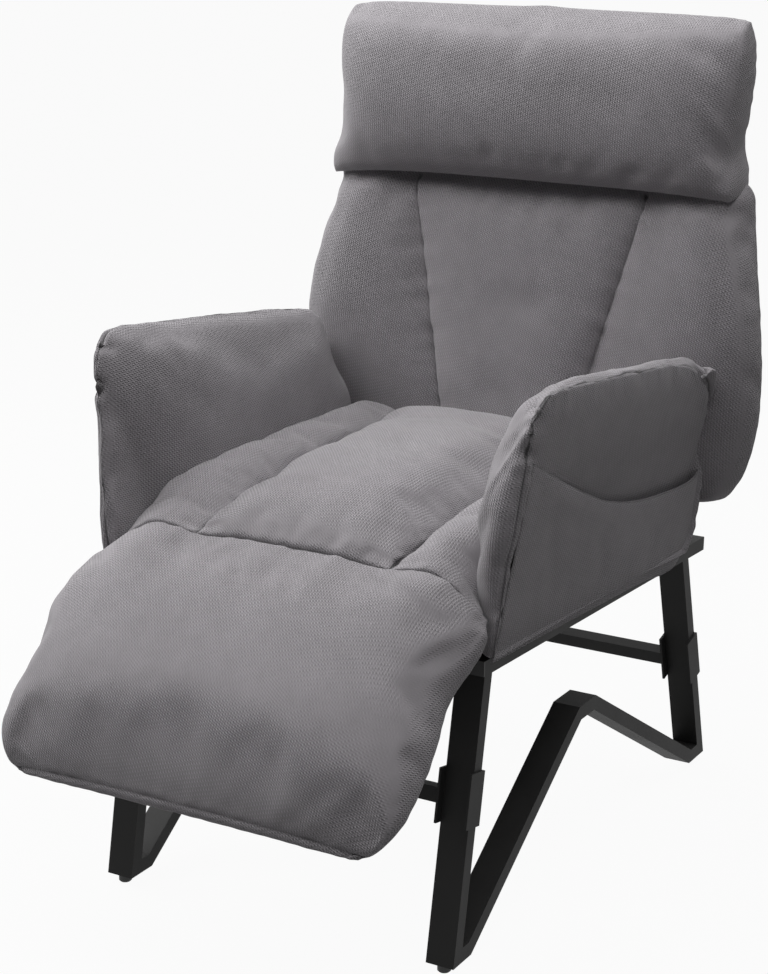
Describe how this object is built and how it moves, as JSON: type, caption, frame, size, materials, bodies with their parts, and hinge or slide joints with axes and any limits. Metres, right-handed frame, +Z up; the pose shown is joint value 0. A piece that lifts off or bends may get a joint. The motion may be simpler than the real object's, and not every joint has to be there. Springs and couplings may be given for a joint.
{
  "type": "reclining lounge chair",
  "caption": "Padded lounge chair on a folded flat-tube base, with reclining back, tilting headrest, swinging footrest and side pockets.",
  "frame": {"origin": "on the floor, under the middle of the chair's bounding box", "axes": "+Z up, the sitter faces -Y, +X is the sitter's left"},
  "size_m": [0.7138, 0.9778, 1.0892],
  "materials": {
    "upholstery": "grey woven cloth over foam",
    "black_steel": "satin black powder coat",
    "black_plastic": "matte moulded plastic",
    "webbing": "elastic webbing",
    "lining": "thin black lining cloth",
    "zinc_steel": "zinc-plated steel"
  },
  "bodies": {
    "base": {"back_hinge_pins": "zinc_steel", "back_ratchet_leaves": "zinc_steel", "bracket_bolts": "black_steel", "dust_cover": "lining", "foot_glides": "black_plastic", "footrest_hinge_pins": "zinc_steel", "footrest_ratchet_leaves": "zinc_steel", "front_brackets": "black_steel", "front_crossbar": "black_steel", "left_arm_cushion": "upholstery", "left_arm_frame": "black_steel", "left_front_leg": "black_steel", "left_front_strut": "black_steel", "left_pocket": "upholstery", "left_pocket_welt": "upholstery", "left_rear_leg": "black_steel", "left_rear_strut": "black_steel", "left_seat_rail": "black_steel", "left_seat_tube": "black_steel", "rail_end_caps": "black_plastic", "rear_brackets": "black_steel", "rear_crossbar": "black_steel", "right_arm_cushion": "upholstery", "right_arm_frame": "black_steel", "right_front_leg": "black_steel", "right_front_strut": "black_steel", "right_pocket": "upholstery", "right_pocket_welt": "upholstery", "right_rear_leg": "black_steel", "right_rear_strut": "black_steel", "right_seat_rail": "black_steel", "right_seat_tube": "black_steel", "seat_bolts": "zinc_steel", "seat_cushion": "upholstery", "seat_front_bar": "black_steel", "seat_nuts": "zinc_steel", "seat_plates": "zinc_steel", "seat_rear_bar": "black_steel", "seat_straps": "webbing"},
    "back": {"back_frame": "black_steel", "back_straps": "webbing", "back_cushion": "upholstery", "back_swing_leaves": "zinc_steel", "headrest_ratchet_leaves": "zinc_steel", "headrest_hinge_pins": "zinc_steel"},
    "headrest": {"headrest_frame": "black_steel", "headrest_cushion": "upholstery", "headrest_swing_leaves": "zinc_steel"},
    "footrest": {"footrest_frame": "black_steel", "footrest_cushion": "upholstery", "footrest_swing_leaves": "zinc_steel"},
    "back_catch": {"back_pawls": "zinc_steel"},
    "footrest_catch": {"footrest_pawls": "zinc_steel"},
    "headrest_catch": {"headrest_pawls": "zinc_steel"}
  },
  "joints": [
    {"name": "back_recline", "type": "hinge", "parent": "base", "child": "back", "pos_m": [0, 0.4, 0.36835], "axis": [-1, 0, 0], "range_deg": [0, 45]},
    {"name": "headrest_tilt", "type": "hinge", "parent": "back", "child": "headrest", "pos_m": [0, 0.43, 0.825], "axis": [1, 0, 0], "range_deg": [0, 20]},
    {"name": "footrest_swing", "type": "hinge", "parent": "base", "child": "footrest", "pos_m": [0, -0.23, 0.39696], "axis": [1, 0, 0], "range_deg": [-35.5, 36]},
    {"name": "back_catch_lift", "type": "hinge", "parent": "back", "child": "back_catch", "pos_m": [0, 0.39405, 0.39981], "axis": [-1, 0, 0], "range_deg": [0, 12], "stiffness_Nm_per_rad": 0.05},
    {"name": "footrest_catch_lift", "type": "hinge", "parent": "footrest", "child": "footrest_catch", "pos_m": [0, -0.25059, 0.37244], "axis": [-1, 0, 0], "range_deg": [0, 12], "stiffness_Nm_per_rad": 0.05},
    {"name": "headrest_catch_lift", "type": "hinge", "parent": "headrest", "child": "headrest_catch", "pos_m": [0, 0.422, 0.856], "axis": [-1, 0, 0], "range_deg": [0, 12], "stiffness_Nm_per_rad": 0.05}
  ]
}
